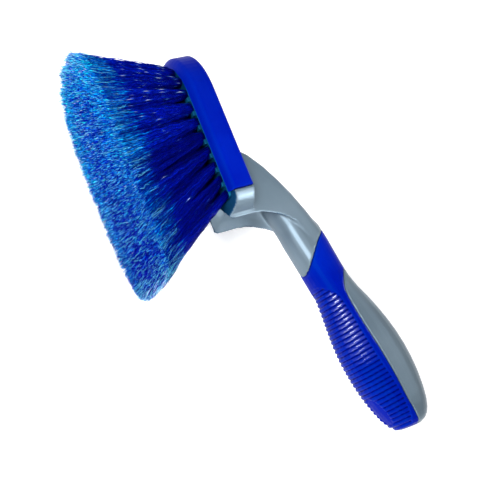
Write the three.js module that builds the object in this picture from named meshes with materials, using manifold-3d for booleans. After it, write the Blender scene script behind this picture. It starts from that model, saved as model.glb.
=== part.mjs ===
// Short-handled scrubbing brush: a grey moulding that is block, neck and handle core in one,
// a ribbed rubber grip, a rubber bumper round the block, and forty tufts held by metal anchors.
//
// Working axes: X runs along the block from its free end to the butt of the handle, Y runs from
// the bristle tips up to the back of the block, and Z runs across the brush. The brush is the
// same on both sides of Z = 0. Millimetres.
import * as THREE from 'three';
import { mergeVertices } from 'three/addons/utils/BufferGeometryUtils.js';
import Module from 'manifold-3d';

const wasm = await Module();
wasm.setup();

// Fit between pieces that touch
const GAP = 0.3;

// Brush block
const BLOCK_HALF_WIDTH = 21;
const BLOCK_END_X = 100.6;
const BLOCK_BACK_Y = 13.3;
const BLOCK_LEDGE_Y = 0.8;
const BLOCK_NOSE_LENGTH = 27.6;
const BLOCK_CORNER_RADIUS = 12;

// Heel: the end of the block's face drops towards the bristles, deepest beside the arch
const HEEL = { startX: 86, lipY: -5, lipHalfWidth: 9, slope: 0.545 };

// Tuft plate: the raised middle of the block's face, made with the tuft rows
const PLATE_HALF_WIDTH = 17;
const PLATE_FACE_Y = -1;
const PLATE_BACK_Y = 4;
const PLATE_END_X = 91.7;
const PLATE_NOTCH_X = 86.6;
const PLATE_NOSE_LENGTH = 23.7;

// Bumper band
const BUMPER_WALL = 3;
const BUMPER_END_X = 88.7;
const BUMPER_FACE_Y = -1.5;
const BUMPER_PROUD = 0.8;

// Tufts
const TUFT_PITCH = 8.72;
const TUFTS_PER_ROW = 9;
const ROW_SPACING = 9;
const TUFT_RADIUS = 2;
const STRANDS_PER_TUFT = 11;
const STRAND_RADIUS = 0.36;

// The trimmed tips fill a rounded oblong wider and longer than the block
const FAN = { rootCentreX: 45, tipCentreX: 56, along: 1.7, across: 1.9 };
const TRIM = { halfLength: 72, halfWidth: 33, power: 3.2 };
const TIP_SPREAD = 6.9;
const NOSE_TIP_SPREAD = 5;

// Anchors
const ANCHOR_LENGTH = 3.4;
const ANCHOR_HEIGHT = 2.2;
const ANCHOR_THICKNESS = 0.6;

// Handle and grip
const GRIP_WALL = 2.6;
const RIB_PITCH = 2.68;
const RIB_FIRST_X = 149.4;
const RIB_COUNT = 34;
const RIB_DEPTH = 1.35;
const RIB_RECESS = 0.35;
const BUTT_X = 241;
const THUMB_PAD = { x: 228, halfLength: 9.2, halfWidth: 5.7, depth: 0.9 };
const SECTION_POINTS = 28;

// Stations along the handle: centre line, half height, half width
const HANDLE_STATIONS = [
  { x: 88, y: 29.5, high: 6.5, wide: 8.0 },
  { x: 100, y: 34.0, high: 9.0, wide: 10.0 },
  { x: 112, y: 38.3, high: 10.6, wide: 10.6 },
  { x: 121, y: 41.2, high: 12.2, wide: 11.0 },
  { x: 132, y: 43.2, high: 11.9, wide: 11.3 },
  { x: 144, y: 45.1, high: 11.5, wide: 11.8 },
  { x: 152, y: 46.6, high: 11.4, wide: 12.3 },
  { x: 161.5, y: 48.2, high: 13.2, wide: 13.1 },
  { x: 172, y: 50.3, high: 15.9, wide: 14.4 },
  { x: 186.5, y: 52.7, high: 18.5, wide: 15.8 },
  { x: 201, y: 55.0, high: 19.3, wide: 16.3 },
  { x: 216, y: 57.1, high: 18.0, wide: 16.0 },
  { x: 229, y: 58.8, high: 15.0, wide: 14.6 },
  { x: 236, y: 59.4, high: 12.2, wide: 12.2 },
  { x: 239.6, y: 59.6, high: 9.2, wide: 9.2 },
];

// Neck sections: point on the back, point on the lower ridge, half width, height of the crown
const NECK_SECTIONS = [
  { back: [95, 1.5], ridge: [100.9, -3.9], wide: 12.7, crown: 1 },
  { back: [90.5, 4.4], ridge: [102.6, -1.4], wide: 12.7, crown: 1.5 },
  { back: [58, 9], ridge: [102.7, 3], wide: 12.7, crown: 4 },
  { back: [62.2, 16.6], ridge: [102.5, 10.5], wide: 12.7, crown: 4 },
  { back: [66.6, 22.4], ridge: [103.2, 16.8], wide: 12.6, crown: 4.5 },
  { back: [75.2, 29.3], ridge: [104.6, 21.7], wide: 12.5, crown: 5 },
  { back: [85.1, 35.8], ridge: [106.6, 26], wide: 12.3, crown: 6 },
  { back: [95.0, 41.4], ridge: [109.6, 31.2], wide: 12.0, crown: 7 },
  { back: [106.7, 46.8], ridge: [113.8, 35.7], wide: 11.6, crown: 8 },
  { back: [115.4, 50.2], ridge: [120.5, 39], wide: 11.2, crown: 9 },
  { back: [123, 52.8], ridge: [127.5, 41.4], wide: 11.0, crown: 10 },
];

// Channel under the neck: stations on the ridge line, depth at the middle, half width
const CHANNEL_STATIONS = [
  { x: 98.5, y: -9, depth: 11, wide: 12 },
  { x: 101, y: -4.2, depth: 12, wide: 12 },
  { x: 102.8, y: -0.8, depth: 12.5, wide: 12 },
  { x: 102.7, y: 10.5, depth: 11.4, wide: 12 },
  { x: 103.3, y: 16.8, depth: 10.1, wide: 11.9 },
  { x: 106.4, y: 25.5, depth: 8.6, wide: 11.6 },
  { x: 109.6, y: 31.2, depth: 7.2, wide: 11.3 },
  { x: 113.8, y: 35.7, depth: 5.6, wide: 10.8 },
  { x: 121, y: 38.9, depth: 3.5, wide: 10.2 },
  { x: 130, y: 41.6, depth: 1.5, wide: 9.6 },
];

// Side-view outlines of the rubber on the handle
const GRIP_FRONT = [
  [114.5, 62], [118.5, 55.5], [121.5, 51.3], [126, 45.5], [130.5, 41.2], [137, 36.6],
  [141.1, 34.4], [144.5, 33], [151, 29],
];
const PALM_WINDOW = [
  [143, 68], [144.3, 58.5], [147, 53], [150.4, 50.1], [155.9, 47.5], [160.5, 46.6], [167, 46.8],
  [180, 48.1], [201, 51.5], [216.2, 53.8], [225, 55], [231, 56.6], [237.3, 58.8], [248, 65],
];
const RIB_PANEL = [
  [149.8, 22], [150, 29], [151.3, 34.9], [155, 38.5], [160.2, 42.1], [166.5, 43.4],
  [178, 44.8], [191.5, 46.5], [204.9, 49], [213.4, 51.2], [227, 53.7], [248, 56.4],
];

// ---------------------------------------------------------------- solids

function toSolid(geometry, weld = 1e-5) {
  geometry.deleteAttribute('normal');
  geometry.deleteAttribute('uv');
  const merged = mergeVertices(geometry, weld);
  const vertProperties = new Float32Array(merged.attributes.position.array);
  const triVerts = new Uint32Array(merged.index.array);
  return new wasm.Manifold(new wasm.Mesh({ numProp: 3, vertProperties, triVerts }));
}

// The main body of a solid, without the slivers that cutting can leave beside it
function mainBody(solid) {
  const welded = toSolid(toGeometry(solid.simplify(0.08)), 0.005);
  return welded.decompose().reduce((best, one) => (one.volume() > best.volume() ? one : best));
}

function toGeometry(solid) {
  const mesh = solid.getMesh();
  const geometry = new THREE.BufferGeometry();
  geometry.setAttribute('position', new THREE.BufferAttribute(mesh.vertProperties, 3));
  geometry.setIndex(new THREE.BufferAttribute(mesh.triVerts, 1));
  geometry.computeVertexNormals();
  return geometry;
}

// A side-view outline carried across the brush, from one Z to another
function acrossBrush(outline, fromZ, toZ) {
  const shape = new THREE.Shape(outline);
  const geometry = new THREE.ExtrudeGeometry(shape, { depth: toZ - fromZ, bevelEnabled: false });
  geometry.translate(0, 0, fromZ);
  return toSolid(geometry);
}

// A section in Z and Y carried along the brush, from one X to another; it is the same on both sides
function alongBrush(section, fromX, toX) {
  const shape = new THREE.Shape(section);
  const geometry = new THREE.ExtrudeGeometry(shape, { depth: toX - fromX, bevelEnabled: false });
  geometry.rotateY(Math.PI / 2);
  geometry.translate(fromX, 0, 0);
  return toSolid(geometry);
}

// A plan outline in X and Z carried up the brush, from one Y to another
function upBrush(outline, fromY, toY) {
  const shape = new THREE.Shape(outline);
  const geometry = new THREE.ExtrudeGeometry(shape, { depth: toY - fromY, bevelEnabled: false });
  geometry.rotateX(Math.PI / 2);
  geometry.translate(0, toY, 0);
  return toSolid(geometry);
}

// Rings of points with the same count, joined in order and closed by a fan at each end
function loft(rings) {
  const count = rings[0].length;
  const positions = [];
  const index = [];
  for (const ring of rings) {
    for (const point of ring) positions.push(point.x, point.y, point.z);
  }
  for (let r = 0; r < rings.length - 1; r++) {
    for (let i = 0; i < count; i++) {
      const a = r * count + i;
      const b = r * count + (i + 1) % count;
      index.push(a, b, a + count, b, b + count, a + count);
    }
  }
  for (const [r, flip] of [[0, true], [rings.length - 1, false]]) {
    const centre = new THREE.Vector3();
    for (const point of rings[r]) centre.addScaledVector(point, 1 / count);
    const hub = positions.length / 3;
    positions.push(centre.x, centre.y, centre.z);
    for (let i = 0; i < count; i++) {
      const a = r * count + i;
      const b = r * count + (i + 1) % count;
      index.push(...(flip ? [hub, b, a] : [hub, a, b]));
    }
  }
  return closedSolid(positions, index);
}

// A closed mesh as a solid, turned the right way out
function closedSolid(positions, index) {
  let volume = 0;
  for (let i = 0; i < index.length; i += 3) {
    const [a, b, c] = index.slice(i, i + 3).map((v) => new THREE.Vector3().fromArray(positions, 3 * v));
    volume += a.dot(b.cross(c));
  }
  if (volume < 0) {
    for (let i = 0; i < index.length; i += 3) [index[i], index[i + 1]] = [index[i + 1], index[i]];
  }
  const vertProperties = new Float32Array(positions);
  const triVerts = new Uint32Array(index);
  return new wasm.Manifold(new wasm.Mesh({ numProp: 3, vertProperties, triVerts }));
}

function smoothLine(points, divisions) {
  return new THREE.SplineCurve(points.map(([x, y]) => new THREE.Vector2(x, y))).getPoints(divisions);
}

const toVectors = (points) => points.map(([x, y]) => new THREE.Vector2(x, y));

// An open line moved sideways, to its left for a positive distance
function shifted(line, distance) {
  return line.map((point, i) => {
    const before = line[Math.max(i - 1, 0)];
    const after = line[Math.min(i + 1, line.length - 1)];
    const along = after.clone().sub(before).normalize();
    return new THREE.Vector2(point.x - along.y * distance, point.y + along.x * distance);
  });
}

// ---------------------------------------------------------------- brush block

// Half of an elliptical nose, from the far side round to the near side
function noseArc(noseLength, halfWidth, centreX, steps) {
  const points = [];
  for (let i = 0; i <= steps; i++) {
    const angle = Math.PI * (i / steps - 0.5);
    points.push(new THREE.Vector2(centreX - noseLength * Math.cos(angle), halfWidth * Math.sin(angle)));
  }
  return points;
}

function blockOutline() {
  const outline = noseArc(BLOCK_NOSE_LENGTH, BLOCK_HALF_WIDTH, BLOCK_NOSE_LENGTH, 32);
  const centreX = BLOCK_END_X - BLOCK_CORNER_RADIUS;
  const centreZ = BLOCK_HALF_WIDTH - BLOCK_CORNER_RADIUS;
  for (const side of [1, -1]) {
    for (let i = 0; i <= 8; i++) {
      const angle = (Math.PI / 2) * (side > 0 ? 1 - i / 8 : -i / 8);
      outline.push(new THREE.Vector2(
        centreX + BLOCK_CORNER_RADIUS * Math.cos(angle),
        side * centreZ + BLOCK_CORNER_RADIUS * Math.sin(angle),
      ));
    }
  }
  return outline;
}

// Side view of the block, which rounds off at the foot of the neck
function blockProfile() {
  const faceY = HEEL.lipY - 1;
  return toVectors([
    [-2, faceY], [BLOCK_END_X + 1, faceY], [BLOCK_END_X + 1, BLOCK_BACK_Y - 2.5],
    [BLOCK_END_X - 1.6, BLOCK_BACK_Y - 1.2], [92, BLOCK_BACK_Y], [-2, BLOCK_BACK_Y],
  ]);
}

// What lies in front of the block's face: level ledge, then the sloping sides of the heel
function faceCut() {
  const farY = HEEL.lipY - 5;
  const wide = BLOCK_HALF_WIDTH + 5;
  const slopeEnd = HEEL.lipHalfWidth + (BLOCK_LEDGE_Y - HEEL.lipY) / HEEL.slope;
  const heelSection = [
    [-wide, farY], [wide, farY], [wide, BLOCK_LEDGE_Y], [slopeEnd, BLOCK_LEDGE_Y],
    [HEEL.lipHalfWidth, HEEL.lipY], [-HEEL.lipHalfWidth, HEEL.lipY], [-slopeEnd, BLOCK_LEDGE_Y],
    [-wide, BLOCK_LEDGE_Y],
  ];
  const ledge = [[-5, farY], [HEEL.startX, farY], [HEEL.startX, BLOCK_LEDGE_Y], [-5, BLOCK_LEDGE_Y]];
  return acrossBrush(toVectors(ledge), -wide, wide)
    .add(alongBrush(toVectors(heelSection), HEEL.startX, BLOCK_END_X + 5));
}

function plateOutline(margin) {
  const halfWidth = PLATE_HALF_WIDTH + margin;
  const outline = noseArc(PLATE_NOSE_LENGTH + margin, halfWidth, BLOCK_NOSE_LENGTH, 28);
  const endX = PLATE_END_X + margin;
  const notchX = PLATE_NOTCH_X + margin;
  const end = [[endX - 2.5, halfWidth], [endX - 0.7, halfWidth - 0.7], [endX, halfWidth - 2.5], [endX, 10.5]];
  const notch = smoothLine(
    [[endX, 10.5], [notchX + 2.6, 6], [notchX, 0], [notchX + 2.6, -6], [endX, -10.5]], 12);
  const mirrored = end.map(([x, z]) => [x, -z]).reverse();
  return [...outline, ...toVectors(end.slice(0, 3)), ...notch, ...toVectors(mirrored.slice(1))];
}

// ---------------------------------------------------------------- bumper

// Section of the band: distance outwards from the block's side, and Y
function bumperSection() {
  const back = BLOCK_BACK_Y;
  const ledge = BLOCK_LEDGE_Y - GAP;
  const outer = BUMPER_WALL;
  return [
    [0, back], [outer - 0.7, back], [outer, back - 0.8], [outer, 2.6], [outer - 0.45, 0.7],
    [outer - 1.4, -0.6], [outer - 2.7, BUMPER_FACE_Y + 0.1], [-0.5, BUMPER_FACE_Y], [-1, -1],
    [-1, ledge], [0, ledge], [0, 5.4], [-1.3, 5.8], [-1.3, 8.4], [0, 8.8],
  ];
}

// The same section grown by the fit, and open towards the outside, to cut its seat
function bumperSeatSection() {
  const far = BUMPER_WALL + 6;
  return [
    [-GAP, BLOCK_BACK_Y + 4], [far, BLOCK_BACK_Y + 4], [far, -8], [-1 - GAP, -8],
    [-1 - GAP, BLOCK_LEDGE_Y], [-GAP, BLOCK_LEDGE_Y], [-GAP, 5.3 - GAP], [-1.3 - GAP, 5.8 - GAP],
    [-1.3 - GAP, 8.4 + GAP], [-GAP, 8.9 + GAP],
  ];
}

function sweepRoundBlock(section, endX, steps) {
  const inset = BUMPER_WALL - BUMPER_PROUD;
  const halfWidth = BLOCK_HALF_WIDTH - inset;
  const noseLength = BLOCK_NOSE_LENGTH - inset;
  const stations = [{ x: endX, z: -halfWidth, nx: 0, nz: -1 }];
  for (let i = 0; i <= steps; i++) {
    const angle = Math.PI * (i / steps - 0.5);
    const normal = new THREE.Vector2(-Math.cos(angle) / noseLength, Math.sin(angle) / halfWidth).normalize();
    stations.push({
      x: BLOCK_NOSE_LENGTH - noseLength * Math.cos(angle),
      z: halfWidth * Math.sin(angle),
      nx: normal.x,
      nz: normal.y,
    });
  }
  stations.push({ x: endX, z: halfWidth, nx: 0, nz: 1 });
  const rings = stations.map((s) => section.map(([out, y]) => (
    new THREE.Vector3(s.x + s.nx * out, y, s.z + s.nz * out))));
  return loftFlatEnds(rings, section);
}

// Like loft, with the end faces cut into triangles for a section that isn't convex
function loftFlatEnds(rings, section) {
  const count = section.length;
  const positions = rings.flat().flatMap((point) => [point.x, point.y, point.z]);
  const index = [];
  for (let r = 0; r < rings.length - 1; r++) {
    for (let i = 0; i < count; i++) {
      const a = r * count + i;
      const b = r * count + (i + 1) % count;
      index.push(a, b, a + count, b, b + count, a + count);
    }
  }
  const last = (rings.length - 1) * count;
  const outline = toVectors(section);
  const turn = Math.sign(THREE.ShapeUtils.area(outline));
  for (const [a, b, c] of THREE.ShapeUtils.triangulateShape(outline, [])) {
    const sameTurn = Math.sign(THREE.ShapeUtils.area([outline[a], outline[b], outline[c]])) === turn;
    const [p, q, r] = sameTurn ? [a, b, c] : [a, c, b];
    index.push(p, r, q, p + last, q + last, r + last);
  }
  return closedSolid(positions, index);
}

// ---------------------------------------------------------------- handle

const handleAxis = new THREE.CatmullRomCurve3(
  HANDLE_STATIONS.map((s) => new THREE.Vector3(s.x, s.y, 0)), false, 'catmullrom');
const handleSize = new THREE.CatmullRomCurve3(
  HANDLE_STATIONS.map((s) => new THREE.Vector3(s.high, s.wide, 0)), false, 'catmullrom');

function axisParameter(x) {
  let low = 0;
  let high = 1;
  for (let i = 0; i < 30; i++) {
    const middle = (low + high) / 2;
    if (handleAxis.getPoint(middle).x < x) low = middle;
    else high = middle;
  }
  return (low + high) / 2;
}

// One section of the handle square to its axis, drawn in by an inset
function handleRing(x, inset, count) {
  const t = axisParameter(x);
  const centre = handleAxis.getPoint(t);
  const along = handleAxis.getTangent(t);
  const size = handleSize.getPoint(t);
  const ring = [];
  for (let i = 0; i < count; i++) {
    const angle = (2 * Math.PI * (i + 0.5)) / count;
    const up = Math.sign(Math.sin(angle)) * Math.abs(Math.sin(angle)) ** 0.92 * (size.x - inset);
    const side = Math.sign(Math.cos(angle)) * Math.abs(Math.cos(angle)) ** 0.92 * (size.y - inset);
    ring.push(new THREE.Vector3(centre.x - along.y * up, centre.y + along.x * up, side));
  }
  return ring;
}

// The handle's plain form, drawn in all round by an inset
function handleForm(inset, step, count) {
  const lastX = HANDLE_STATIONS[HANDLE_STATIONS.length - 1].x - inset;
  const rings = [];
  const straightEnd = 226;
  for (let x = HANDLE_STATIONS[0].x + inset; x < straightEnd; x += step) {
    rings.push(handleRing(x, inset, count));
  }
  for (const x of [226, 231, 235, 237.6]) rings.push(handleRing(x - inset * 0.6, inset, count));
  rings.push(handleRing(lastX, inset, count));
  const cap = handleRing(lastX, inset, count);
  const centre = handleAxis.getPoint(1);
  rings.push(cap.map((p) => new THREE.Vector3(
    BUTT_X - inset, centre.y + (p.y - centre.y) * 0.6, p.z * 0.6)));
  return loft(rings);
}

// The handle with ribs all the way round, their crests a little below its plain form
function ribbedForm() {
  const rings = [handleRing(RIB_FIRST_X - RIB_PITCH, RIB_RECESS, SECTION_POINTS)];
  for (let i = 0; i < RIB_COUNT; i++) {
    const x = RIB_FIRST_X + i * RIB_PITCH;
    rings.push(handleRing(x, RIB_DEPTH, SECTION_POINTS));
    rings.push(handleRing(x + RIB_PITCH * 0.34, RIB_RECESS, SECTION_POINTS));
    rings.push(handleRing(x + RIB_PITCH * 0.72, RIB_RECESS, SECTION_POINTS));
  }
  const end = handleRing(HANDLE_STATIONS[HANDLE_STATIONS.length - 1].x, RIB_RECESS, SECTION_POINTS);
  rings.push(end, end.map((p) => p.clone().setX(p.x + 4)));
  return loft(rings);
}

// Side view of all that the rubber covers, grown by a margin
function gripRegion(margin) {
  const front = shifted(smoothLine(GRIP_FRONT, 14), -margin);
  const palm = shifted(smoothLine(PALM_WINDOW, 34), margin);
  return [
    ...toVectors([[front[0].x, 90]]), ...front,
    ...toVectors([[151 - margin, 5], [260, 5], [260, 60 + margin]]),
    ...palm.reverse(), ...toVectors([[143 + margin, 90]]),
  ];
}

function ribPanelRegion() {
  return [...smoothLine(RIB_PANEL, 30), ...toVectors([[260, 57], [260, 5], [150.5, 5]])];
}

function thumbPadOutline() {
  const outline = [];
  for (let i = 0; i < 24; i++) {
    const angle = (2 * Math.PI * i) / 24;
    outline.push(new THREE.Vector2(
      THUMB_PAD.x + THUMB_PAD.halfLength * Math.cos(angle), THUMB_PAD.halfWidth * Math.sin(angle)));
  }
  return outline;
}

// One section of the neck: flat underneath, straight sides, crowned back
function neckRing({ back, ridge, wide, crown }) {
  const top = new THREE.Vector3(back[0], back[1], 0);
  const foot = new THREE.Vector3(ridge[0], ridge[1], 0);
  const length = top.distanceTo(foot);
  const up = top.clone().sub(foot).normalize();
  const ring = [];
  const place = (height, z) => ring.push(foot.clone().addScaledVector(up, height).setZ(z));
  place(0, wide);
  for (let i = 0; i <= 12; i++) {
    const angle = (Math.PI * i) / 12;
    const z = wide * Math.sign(Math.cos(angle)) * Math.abs(Math.cos(angle)) ** 0.8;
    place(length - crown + crown * Math.sin(angle) ** 0.8, z);
  }
  place(0, -wide);
  return ring;
}

// The scoop that hollows the neck from below and cuts the arch in the block's end
function channelForm() {
  const line = new THREE.CatmullRomCurve3(
    CHANNEL_STATIONS.map((s) => new THREE.Vector3(s.x, s.y, 0)), false, 'catmullrom');
  const size = new THREE.CatmullRomCurve3(
    CHANNEL_STATIONS.map((s) => new THREE.Vector3(s.depth, s.wide, 0)), false, 'catmullrom');
  const rings = [];
  const outside = 14;
  for (let i = 0; i <= 22; i++) {
    const point = line.getPoint(i / 22);
    const along = line.getTangent(i / 22);
    const { x: depth, y: wide } = size.getPoint(i / 22);
    const inward = new THREE.Vector3(-along.y, along.x, 0);
    const ring = [];
    const place = (deep, z) => ring.push(point.clone().addScaledVector(inward, deep).setZ(z));
    for (let k = 0; k <= 12; k++) {
      const angle = (Math.PI * k) / 12;
      place(depth * (1 - Math.abs(Math.cos(angle)) ** 1.6), wide * Math.cos(angle));
    }
    place(-outside, -wide);
    place(-outside, wide);
    rings.push(ring);
  }
  return loft(rings);
}

function handleBody() {
  const block = upBrush(blockOutline(), HEEL.lipY - 2, BLOCK_BACK_Y + 2)
    .intersect(acrossBrush(blockProfile(), -30, 30))
    .subtract(faceCut());
  const neck = loft(NECK_SECTIONS.map(neckRing));
  const stem = handleForm(0, 8, SECTION_POINTS);
  const core = handleForm(GRIP_WALL + GAP, 14, 16);
  let body = block.add(neck)
    .subtract(upBrush(plateOutline(GAP), -10, PLATE_BACK_Y + GAP))
    .subtract(sweepRoundBlock(bumperSeatSection(), BUMPER_END_X + GAP, 24))
    .subtract(channelForm())
    .add(stem)
    .subtract(acrossBrush(gripRegion(GAP), -30, 30))
    .add(core);
  for (const { x, z } of tufts()) body = body.subtract(anchorBox(x, z, GAP));
  return body;
}

function gripOvermould() {
  const skin = handleForm(0, 8, SECTION_POINTS)
    .intersect(acrossBrush(gripRegion(0), -30, 30))
    .subtract(handleForm(GRIP_WALL, 14, 16));
  const around = handleForm(-3, 8, SECTION_POINTS);
  const pad = upBrush(thumbPadOutline(), 25, 58);
  const grooves = around.subtract(ribbedForm())
    .intersect(acrossBrush(ribPanelRegion(), -30, 30))
    .subtract(pad);
  const dish = around.subtract(handleForm(THUMB_PAD.depth, 8, SECTION_POINTS)).intersect(pad);
  return mainBody(skin.subtract(grooves).subtract(dish));
}

// ---------------------------------------------------------------- tufts and anchors

// Each row runs back from its last tuft; the two tufts at the free end follow the rounded nose
const ROWS = [
  { name: 'near_outer', side: 1, inner: false, lastX: 87.7 },
  { name: 'near_inner', side: 1, inner: true, lastX: 83 },
  { name: 'far_inner', side: -1, inner: true, lastX: 83 },
  { name: 'far_outer', side: -1, inner: false, lastX: 87.7 },
];
const NOSE_TUFTS = {
  inner: [{ x: 13.5, z: 3.9 }, { x: 7.2, z: 3.7 }],
  outer: [{ x: 18.8, z: 12.6 }, { x: 11.9, z: 9.3 }],
};

function rowTufts({ side, inner, lastX }) {
  const z = side * ROW_SPACING * (inner ? 0.5 : 1.5);
  const places = [];
  for (let i = 0; i < TUFTS_PER_ROW - 1; i++) {
    places.push({ x: lastX - i * TUFT_PITCH, z, spread: TIP_SPREAD });
  }
  for (const tuft of inner ? NOSE_TUFTS.inner : NOSE_TUFTS.outer) {
    places.push({ x: tuft.x, z: side * tuft.z, spread: NOSE_TIP_SPREAD });
  }
  return places;
}

function tufts() {
  return ROWS.flatMap(rowTufts);
}

// Where the tip of a strand lies: fanned out both ways, and kept inside the trimmed outline
function tipPlace(tuft, offsetX, offsetZ) {
  const alongX = (tuft.x - FAN.rootCentreX) * FAN.along + offsetX * tuft.spread;
  const acrossZ = tuft.z * FAN.across + offsetZ * tuft.spread;
  const reach = (Math.abs(alongX) / TRIM.halfLength) ** TRIM.power
    + (Math.abs(acrossZ) / TRIM.halfWidth) ** TRIM.power;
  const pull = Math.min(1, reach ** (-1 / TRIM.power));
  const x = FAN.tipCentreX + alongX * pull;
  const z = acrossZ * pull;
  return new THREE.Vector3(x, -(53.5 + 0.03 * x) + 0.0006 * z * z, z);
}

function strandRing(centre, radius) {
  return [0, 1, 2].map((i) => {
    const angle = (2 * Math.PI * i) / 3;
    return new THREE.Vector3(
      centre.x + radius * Math.cos(angle), centre.y, centre.z + radius * Math.sin(angle));
  });
}

function rowStrands(row) {
  const positions = [];
  const index = [];
  const goldenAngle = Math.PI * (3 - Math.sqrt(5));
  for (const tuft of rowTufts(row)) {
    for (let k = 0; k < STRANDS_PER_TUFT; k++) {
      const radius = Math.sqrt((k + 0.5) / STRANDS_PER_TUFT);
      const ox = radius * Math.cos(k * goldenAngle);
      const oz = radius * Math.sin(k * goldenAngle);
      const root = new THREE.Vector3(
        tuft.x + ox * TUFT_RADIUS, PLATE_FACE_Y + 0.6, tuft.z + oz * TUFT_RADIUS);
      const rings = [strandRing(root, STRAND_RADIUS), strandRing(tipPlace(tuft, ox, oz), STRAND_RADIUS)];
      const first = positions.length / 3;
      for (const point of rings.flat()) positions.push(point.x, point.y, point.z);
      for (let i = 0; i < 3; i++) {
        const j = (i + 1) % 3;
        index.push(first + i, first + j, first + 3 + i, first + j, first + 3 + j, first + 3 + i);
      }
      index.push(first, first + 2, first + 1, first + 3, first + 4, first + 5);
    }
  }
  return closedSolid(positions, index);
}

// A row's strip of the tuft plate, with its strands
function tuftRow(row) {
  const middle = [[-5, GAP / 2], [120, GAP / 2]];
  const between = (shift) => [
    [120, ROW_SPACING + shift], [21, ROW_SPACING + shift], [16.5, 6.6 + shift], [-5, 6.6 + shift],
  ];
  const outside = [[-5, PLATE_HALF_WIDTH + 1], [120, PLATE_HALF_WIDTH + 1]];
  const strip = row.inner ? [...middle, ...between(-GAP / 2)] : [...outside, ...between(GAP / 2)];
  return upBrush(plateOutline(0), PLATE_FACE_Y, PLATE_BACK_Y)
    .intersect(upBrush(toVectors(strip.map(([x, z]) => [x, z * row.side])), -10, 20))
    .add(rowStrands(row));
}

function anchorBox(x, z, margin) {
  const geometry = new THREE.BoxGeometry(
    ANCHOR_LENGTH + 2 * margin, ANCHOR_HEIGHT + margin * 2, ANCHOR_THICKNESS + 2 * margin);
  geometry.translate(x, PLATE_BACK_Y + GAP + ANCHOR_HEIGHT / 2, z);
  return toSolid(geometry);
}

// ---------------------------------------------------------------- assembly

const greyPlastic = new THREE.MeshStandardMaterial({ color: 0x8b9aa3, roughness: 0.36, metalness: 0.1 });
const blueRubber = new THREE.MeshStandardMaterial({ color: 0x0a1fc0, roughness: 0.5, metalness: 0 });
const bristle = new THREE.MeshStandardMaterial({ color: 0x1646b8, roughness: 0.45, metalness: 0 });
const anchorMetal = new THREE.MeshStandardMaterial({ color: 0xb8bcc0, roughness: 0.3, metalness: 0.9 });

const pieces = new THREE.Group();

function addPiece(name, solid, material) {
  const mesh = new THREE.Mesh(toGeometry(solid), material);
  mesh.name = name;
  pieces.add(mesh);
}

addPiece('handle_body', handleBody(), greyPlastic);
addPiece('grip_overmould', gripOvermould(), blueRubber);
addPiece('head_bumper', sweepRoundBlock(bumperSection(), BUMPER_END_X, 24), blueRubber);
for (const row of ROWS) addPiece(`tufts_${row.name}`, tuftRow(row), bristle);
tufts().forEach(({ x, z }, i) => {
  addPiece(`tuft_anchor_${String(i + 1).padStart(2, '0')}`, anchorBox(x, z, 0), anchorMetal);
});

// Origin at the middle of the underside of the whole brush, as it lies on its side
const bounds = new THREE.Box3().setFromObject(pieces);
const middle = bounds.getCenter(new THREE.Vector3());
pieces.position.set(-middle.x, -middle.y, -bounds.min.z);

const brush = new THREE.Group();
brush.add(pieces);
export default brush;
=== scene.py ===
import math
import bpy
import numpy as np
from mathutils import Matrix, Vector


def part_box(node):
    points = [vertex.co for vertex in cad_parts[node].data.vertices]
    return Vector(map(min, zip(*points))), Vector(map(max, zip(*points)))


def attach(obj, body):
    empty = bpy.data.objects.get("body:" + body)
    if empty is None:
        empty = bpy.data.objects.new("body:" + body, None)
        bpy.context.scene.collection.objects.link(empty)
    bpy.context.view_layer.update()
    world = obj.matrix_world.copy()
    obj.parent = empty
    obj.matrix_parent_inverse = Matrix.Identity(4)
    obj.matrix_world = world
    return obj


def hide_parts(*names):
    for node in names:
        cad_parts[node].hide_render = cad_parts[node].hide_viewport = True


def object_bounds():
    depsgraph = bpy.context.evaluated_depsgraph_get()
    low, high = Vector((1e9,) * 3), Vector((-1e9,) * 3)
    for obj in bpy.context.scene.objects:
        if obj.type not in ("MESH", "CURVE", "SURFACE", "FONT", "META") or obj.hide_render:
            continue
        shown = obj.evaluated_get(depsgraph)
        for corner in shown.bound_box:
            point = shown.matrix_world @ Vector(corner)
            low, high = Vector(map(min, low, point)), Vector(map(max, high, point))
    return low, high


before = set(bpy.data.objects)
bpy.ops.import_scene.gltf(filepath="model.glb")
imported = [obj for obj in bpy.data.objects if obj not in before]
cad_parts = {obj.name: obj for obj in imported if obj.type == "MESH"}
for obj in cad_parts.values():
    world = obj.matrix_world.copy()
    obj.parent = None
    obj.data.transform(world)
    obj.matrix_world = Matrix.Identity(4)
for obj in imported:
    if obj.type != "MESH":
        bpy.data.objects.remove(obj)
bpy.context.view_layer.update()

mm = 0.001
bpy.ops.object.select_all(action="DESELECT")

# Working places are in millimetres along the block: X from its free end towards the handle,
# Y up from the ledge of its face to its back, Z across the brush from the middle plane
bandFit = {"proud": 0.8, "backY": 13.3}  # past the block's end, and up to the band's back
bandLow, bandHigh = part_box("head_bumper")
blockZero = Vector((bandLow.x + bandFit["proud"] * mm,
                    bandHigh.y - bandFit["backY"] * mm,
                    (bandLow.z + bandHigh.z) / 2))


def onBlock(x, y, z):
    return blockZero + Vector((x, y, z)) * mm


# How far a value has come from one number to another, from 0 to 1
def progress(value, start, end):
    return np.clip((value - start) / (end - start), 0, 1)


# Materials

def newMaterial(name):
    material = bpy.data.materials.new(name)
    material.use_nodes = True
    tree = material.node_tree
    tree.nodes.clear()
    shader = tree.nodes.new("ShaderNodeBsdfPrincipled")
    output = tree.nodes.new("ShaderNodeOutputMaterial")
    tree.links.new(shader.outputs["BSDF"], output.inputs["Surface"])
    return material, tree, shader


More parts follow.
